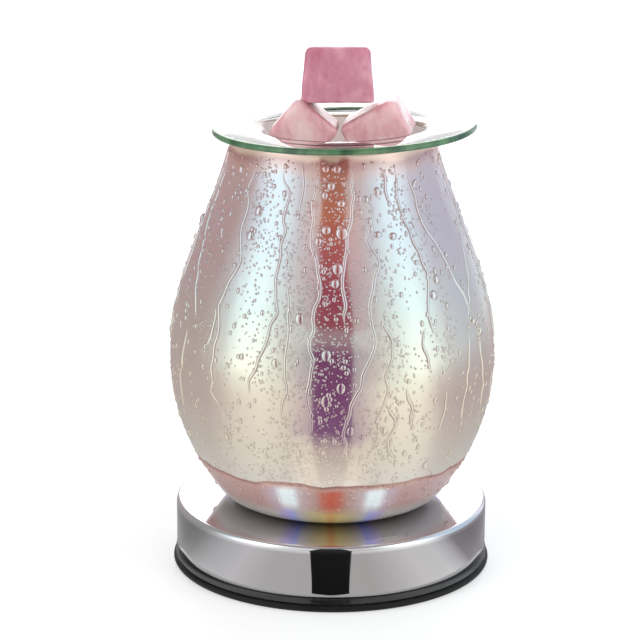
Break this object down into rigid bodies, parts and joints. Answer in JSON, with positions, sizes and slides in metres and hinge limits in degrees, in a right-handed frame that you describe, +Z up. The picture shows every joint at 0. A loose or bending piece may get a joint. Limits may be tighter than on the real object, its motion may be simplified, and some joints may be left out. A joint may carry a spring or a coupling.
{
  "type": "electric wax melt warmer",
  "caption": "Tabletop wax melt warmer: chromed touch base, upright halogen lamp, egg-shaped glass shade, loose glass dish and scented wax blocks.",
  "frame": {"origin": "middle of the rubber foot ring's underside, on the table", "axes": "+Z up along the shade's axis, +Y towards the cord inlet at the back, -Y is the front"},
  "size_m": [0.125, 0.125, 0.2034],
  "materials": {
    "chrome_steel": "mirror polished",
    "black_rubber": "matte",
    "black_plastic": "moulded satin",
    "zinc_steel": "zinc plated",
    "yellow_brass": "turned",
    "white_plastic": "moulded matte",
    "foam_tape": "foam",
    "green_board": "solder mask",
    "black_resin": "moulded matte",
    "red_resin": "dipped",
    "brown_wire": "extruded",
    "white_sleeve": "woven glass sleeve",
    "red_wire": "extruded",
    "clear_silicone": "translucent",
    "white_ceramic": "unglazed steatite",
    "lamp_mirror": "dichroic coated glass",
    "lamp_glass": "clear",
    "tungsten": "drawn wire",
    "pearl_glass": "iridescent lustre over raised drops, nearly opaque",
    "dish_glass": "clear, green at the edge",
    "pink_wax": "waxy, slightly translucent"
  },
  "bodies": {
    "base": {"foot_ring": "black_rubber", "base_plate": "black_plastic", "plate_screws": "zinc_steel", "base_shell": "chrome_steel", "shell_tabs": "zinc_steel", "cord_gland": "black_plastic", "dimmer_tape": "foam_tape", "dimmer_case": "white_plastic", "dimmer_lid": "white_plastic", "dimmer_board": "green_board", "triac": "black_resin", "film_capacitor": "red_resin", "touch_chip": "black_resin", "terminal_block": "white_plastic", "terminal_screws": "yellow_brass", "dimmer_leads": "brown_wire", "lamp_leads": "white_sleeve", "touch_lead": "red_wire", "stem_tube": "yellow_brass", "stem_washer": "zinc_steel", "stem_nuts": "yellow_brass", "shade_seat": "zinc_steel", "shade_gasket": "clear_silicone", "holder_bracket": "zinc_steel", "lamp_holder": "white_ceramic", "holder_screws": "zinc_steel", "holder_contacts": "yellow_brass"},
    "lamp": {"lamp_cap": "white_ceramic", "lamp_pins": "zinc_steel", "lamp_reflector": "lamp_mirror", "lamp_front_glass": "lamp_glass", "halogen_capsule": "lamp_glass", "filament": "tungsten"},
    "shade": {"glass_shade": "pearl_glass"},
    "dish": {"wax_dish": "dish_glass"},
    "top_melt": {"wax_melt_top": "pink_wax"},
    "left_melt": {"wax_melt_left": "pink_wax"},
    "right_melt": {"wax_melt_right": "pink_wax"}
  },
  "joints": [
    {"name": "lamp_twist", "type": "hinge", "parent": "base", "child": "lamp", "pos_m": [0, 0, 0.064], "axis": [0, 0, 1], "range_deg": [0, 20]},
    {"name": "shade_lift", "type": "slide", "parent": "base", "child": "shade", "axis": [0, 0, 1], "range_m": [0, 0.12]},
    {"name": "dish_lift", "type": "slide", "parent": "shade", "child": "dish", "axis": [0, 0, 1], "range_m": [0, 0.06]},
    {"name": "top_melt_lift", "type": "slide", "parent": "dish", "child": "top_melt", "axis": [0, 0, 1], "range_m": [0, 0.05]},
    {"name": "left_melt_draw", "type": "slide", "parent": "dish", "child": "left_melt", "axis": [-0.7772, 0.0817, 0.6239], "range_m": [0, 0.05]},
    {"name": "right_melt_draw", "type": "slide", "parent": "dish", "child": "right_melt", "axis": [0.8698, -0.0914, 0.4848], "range_m": [0, 0.05]}
  ]
}
